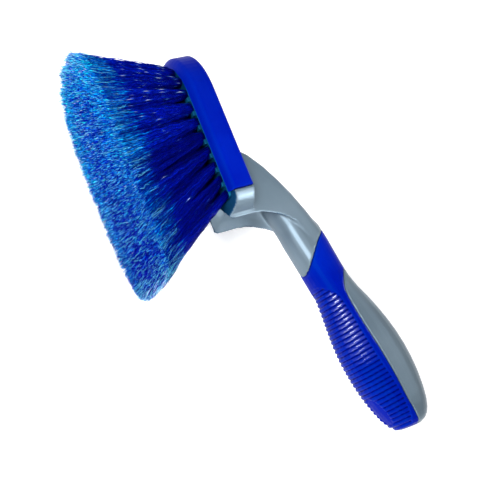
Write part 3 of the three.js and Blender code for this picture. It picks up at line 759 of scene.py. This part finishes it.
def modelPlate():
    line = plateLine()
    bpy.ops.object.select_all(action="DESELECT")
    bpy.ops.mesh.primitive_circle_add(vertices=len(line), radius=1, fill_type="NGON")
    plate = bpy.context.object
    plate.name = "tuftPlate"
    for vertex, (x, z) in zip(plate.data.vertices, line):
        vertex.co = onBlock(x, plateShape["backY"], z)
    bpy.ops.object.mode_set(mode="EDIT")
    bpy.ops.mesh.select_all(action="SELECT")
    height = plateShape["faceY"] - plateShape["backY"]
    bpy.ops.mesh.extrude_region_move(TRANSFORM_OT_translate={"value": (0, height * mm, 0)})
    bpy.ops.mesh.select_all(action="SELECT")
    bpy.ops.mesh.normals_make_consistent(inside=False)
    bpy.ops.mesh.select_all(action="DESELECT")
    bpy.ops.mesh.select_mode(type="FACE")
    bpy.ops.object.mode_set(mode="OBJECT")
    for face in plate.data.polygons:
        face.select = face.normal.y < -plateShape["facing"]
    bpy.ops.object.mode_set(mode="EDIT")
    bpy.ops.mesh.inset(thickness=plateShape["rim"] * mm)
    bpy.ops.object.mode_set(mode="OBJECT")
    bevel = plate.modifiers.new("edge", "BEVEL")
    bevel.width = plateShape["edge"] * mm
    bevel.segments = plateShape["edgeSegments"]
    bevel.limit_method = "ANGLE"
    applyModifiers(plate)
    # A painted highlight along the plate's two long edges
    z = readPlaces(plate.data)[:, 2]
    edgeHighlight = np.abs(z) > plateShape["halfWidth"] - plateShape["edgeHighlight"]
    paintVertices(plate.data, "edge", edgeHighlight.astype(float))
    dress(plate, plateShadeTeal)
    print("tuftPlate", len(plate.data.polygons), "faces")


modelPlate()


# Teeth of the plate's edge, one between every two tufts of the outer rows

toothShape = {"halfX": 1.5, "fromZ": 13.2, "toZ": 16.5, "tall": 1.9, "sunk": 0.2, "narrow": 0.8,
              "bevel": 0.25, "bevelSegments": 2, "edge": 0.22}


def modelTooth():
    bpy.ops.object.select_all(action="DESELECT")
    bpy.ops.mesh.primitive_cube_add(size=2, location=(0, 0, 0))
    tooth = bpy.context.object
    tooth.name = "tooth"
    top = plateShape["faceY"] + toothShape["sunk"]
    middle = (toothShape["fromZ"] + toothShape["toZ"]) / 2
    for vertex in tooth.data.vertices:
        x, y, z = vertex.co
        wide = toothShape["halfX"] * (toothShape["narrow"] if y < 0 else 1)
        placeY = top + (y - 1) / 2 * toothShape["tall"]
        vertex.co = onBlock(x * wide, placeY, middle + z * (toothShape["toZ"] - middle))
    bevel = tooth.modifiers.new("edge", "BEVEL")
    bevel.width = toothShape["bevel"] * mm
    bevel.segments = toothShape["bevelSegments"]
    applyModifiers(tooth)
    return tooth


def placeTeeth():
    tooth = modelTooth()
    teeth = []
    for side in (1, -1):
        for i in range(tuftLayout["straight"] - 1):
            x = tuftLayout["outerLast"] - (i + 0.5) * tuftLayout["pitch"]
            piece = tooth.copy()
            piece.data = tooth.data.copy()
            bpy.context.scene.collection.objects.link(piece)
            for vertex in piece.data.vertices:
                place = (vertex.co - blockZero) / mm
                vertex.co = onBlock(x + place.x, place.y, side * place.z)
            if side < 0:
                piece.data.flip_normals()
            teeth.append(piece)
    bpy.data.objects.remove(tooth)
    bpy.ops.object.select_all(action="DESELECT")
    for piece in teeth:
        piece.select_set(True)
    bpy.context.view_layer.objects.active = teeth[0]
    bpy.ops.object.join()
    row = bpy.context.object
    row.name = "plateTeeth"
    # The teeth take a little of the plate's painted edge highlight
    paintVertices(row.data, "edge", np.full(len(row.data.vertices), toothShape["edge"]))
    dress(row, plateShadeTeal)
    print("plateTeeth", len(row.data.polygons), "faces")


placeTeeth()


# Anchors: plain metal, out of sight in the block

for nodeName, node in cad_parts.items():
    if nodeName.startswith("tuft_anchor"):
        node.data.materials.clear()
        node.data.materials.append(anchorMetal)
print("anchors dressed")


# Floor, light and camera

studio = {"world": 0.44, "floorTone": 0.8, "floorGlow": 0.5, "floorSize": 6,
          "floorRoughness": 0.9, "floorSpecular": 0.1}
# The camera's place is in the block's millimetres; right, up and forward are its directions
lens = {
    "focal": 75, "sensor": 36, "clipStart": 0.01, "clipEnd": 20, "place": (220.3, -253.4, 480.0),
    "right": (0.368, 0.8516, 0.3732), "up": (-0.9092, 0.2455, 0.3363),
    "forward": (-0.1948, 0.4631, -0.8647)}

# Softboxes aim at a place on the block's millimetres, and stand off from it along the camera's
# right, up and back in metres
lamps = {
    "keyBox": {"target": (120, 0, 0), "right": -0.28, "up": 0.14, "back": 0.85,
               "size": (0.34, 0.22), "power": 8, "spread": 180},
    "wallBox": {"target": (97, 5, 17), "right": 0.30, "up": -0.015, "back": 0.18,
                "size": (0.1, 0.12), "power": 0.045, "spread": 26},
    "lowBox": {"target": (120, 0, 0), "right": 0.1, "up": -0.8, "back": 0.55,
               "size": (0.5, 0.4), "power": 5, "spread": 180},
    "topBox": {"target": (120, 0, 0), "right": -0.3, "up": 0.9, "back": 0.5,
               "size": (0.8, 0.5), "power": 1.5, "spread": 180},
    "palmBox": {"target": (205, 45, 0), "right": 0.7, "up": 0.35, "back": 0.15,
                "size": (0.5, 0.5), "power": 1.1, "spread": 180},
}
cameraRight, cameraUp = Vector(lens["right"]), Vector(lens["up"])
cameraForward = Vector(lens["forward"])


def layFloor():
    bpy.ops.object.select_all(action="DESELECT")
    bpy.ops.mesh.primitive_plane_add(size=studio["floorSize"], location=(0, 0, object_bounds()[0][2]))
    floor = bpy.context.object
    floor.name = "floor"
    material, tree, shader = newMaterial("paleFloor")
    shader.inputs["Base Color"].default_value = (studio["floorTone"],) * 3 + (1,)
    shader.inputs["Roughness"].default_value = studio["floorRoughness"]
    shader.inputs["Specular IOR Level"].default_value = studio["floorSpecular"]
    shader.inputs["Emission Color"].default_value = (1, 1, 1, 1)
    shader.inputs["Emission Strength"].default_value = studio["floorGlow"]
    floor.data.materials.append(material)


def lightWorld():
    world = bpy.data.worlds.new("studio")
    bpy.context.scene.world = world
    world.use_nodes = True
    background = world.node_tree.nodes["Background"]
    background.inputs["Color"].default_value = (1, 1, 1, 1)
    background.inputs["Strength"].default_value = studio["world"]


def addSoftbox(name, lamp):
    data = bpy.data.lights.new(name, "AREA")
    data.shape = "RECTANGLE"
    data.size, data.size_y = lamp["size"]
    data.energy = lamp["power"]
    data.spread = math.radians(lamp["spread"])
    light = bpy.data.objects.new(name, data)
    light.visible_camera = False
    bpy.context.scene.collection.objects.link(light)
    target = onBlock(*lamp["target"])
    light.location = (target + cameraRight * lamp["right"] + cameraUp * lamp["up"]
                      - cameraForward * lamp["back"])
    away = (light.location - target).normalized()
    across = cameraUp.cross(away).normalized()
    turned = Matrix((across, away.cross(across), away)).transposed()
    light.rotation_euler = turned.to_euler()


def placeCamera():
    data = bpy.data.cameras.new("camera")
    data.lens = lens["focal"]
    data.sensor_width = lens["sensor"]
    data.clip_start = lens["clipStart"]
    data.clip_end = lens["clipEnd"]
    camera = bpy.data.objects.new("camera", data)
    bpy.context.scene.collection.objects.link(camera)
    turned = Matrix((cameraRight, cameraUp, -cameraForward)).transposed().to_4x4()
    camera.matrix_world = Matrix.Translation(onBlock(*lens["place"])) @ turned
    bpy.context.scene.camera = camera


layFloor()
lightWorld()
for lampName, lampLook in lamps.items():
    addSoftbox(lampName, lampLook)
placeCamera()
bpy.context.scene.view_settings.view_transform = "Standard"
print("stage set")
